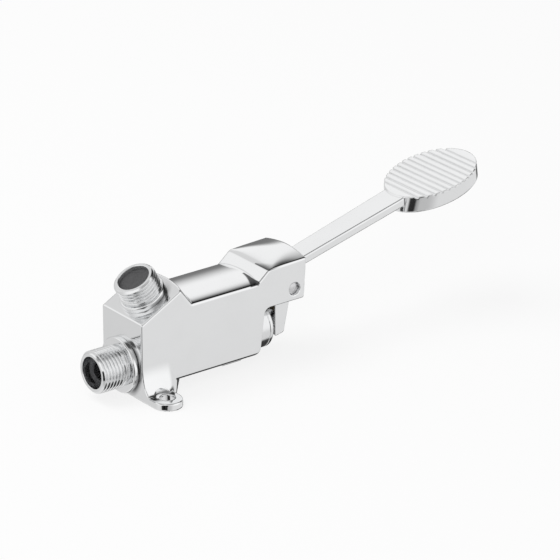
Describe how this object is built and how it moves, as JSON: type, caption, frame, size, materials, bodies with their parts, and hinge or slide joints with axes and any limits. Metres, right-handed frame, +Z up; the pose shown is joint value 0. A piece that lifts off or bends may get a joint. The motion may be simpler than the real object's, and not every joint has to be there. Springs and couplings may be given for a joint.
{
  "type": "foot pedal self-closing valve",
  "caption": "Floor-mounted self-closing water valve: a chromed cast body with a level inlet and a slanted outlet, both threaded, and a ribbed pedal on a lever that pushes the stem.",
  "frame": {"origin": "on the floor, midway between the two mounting holes", "axes": "+X from the inlet towards the pedal, +Y across the valve, +Z up from the floor"},
  "size_m": [0.2288, 0.0658, 0.072],
  "materials": {
    "body_chrome": "bright plated",
    "port_chrome": "bright plated",
    "lever_chrome": "bright plated",
    "bonnet_chrome": "turned, plated",
    "brass": "turned",
    "rubber": "matt",
    "screen_steel": "fine woven mesh",
    "stem_steel": "ground",
    "spring_steel": "drawn wire",
    "bush_plastic": "moulded"
  },
  "bodies": {
    "valve": {"valve_body": "body_chrome", "inlet_nipple": "port_chrome", "outlet_nipple": "port_chrome", "inlet_gasket": "rubber", "outlet_gasket": "rubber", "inlet_strainer": "screen_steel", "outlet_screen": "screen_steel", "seat_bush": "brass", "seat_o_ring": "rubber", "spring_guide": "brass", "return_spring": "spring_steel", "bonnet": "bonnet_chrome", "bonnet_gasket": "rubber", "stem_seals": "rubber", "seal_spacer": "brass", "gland_nut": "brass", "stem_wiper": "rubber", "thrust_washers": "bush_plastic", "pivot_pin": "stem_steel"},
    "stem": {"stem": "stem_steel", "poppet": "brass", "poppet_seal": "rubber", "poppet_nut": "brass", "spring_cap": "stem_steel", "stem_clip": "stem_steel", "push_button": "stem_steel"},
    "pedal": {"pedal_lever": "lever_chrome", "lever_bush": "bush_plastic"}
  },
  "joints": [
    {"name": "pedal_pivot", "type": "hinge", "parent": "valve", "child": "pedal", "pos_m": [0.0818, 0, 0.03475], "axis": [0, 1, 0], "range_deg": [0, 9], "stiffness_Nm_per_rad": 1.14, "springref_deg": -17.65},
    {"name": "stem_slide", "type": "slide", "parent": "valve", "child": "stem", "axis": [-1, 0, 0], "range_m": [0, 0.0035], "deforming": ["return_spring"]}
  ],
  "couplings": [
    {"joint": "stem_slide", "follows": "pedal_pivot", "m_per_rad": 0.02144}
  ]
}
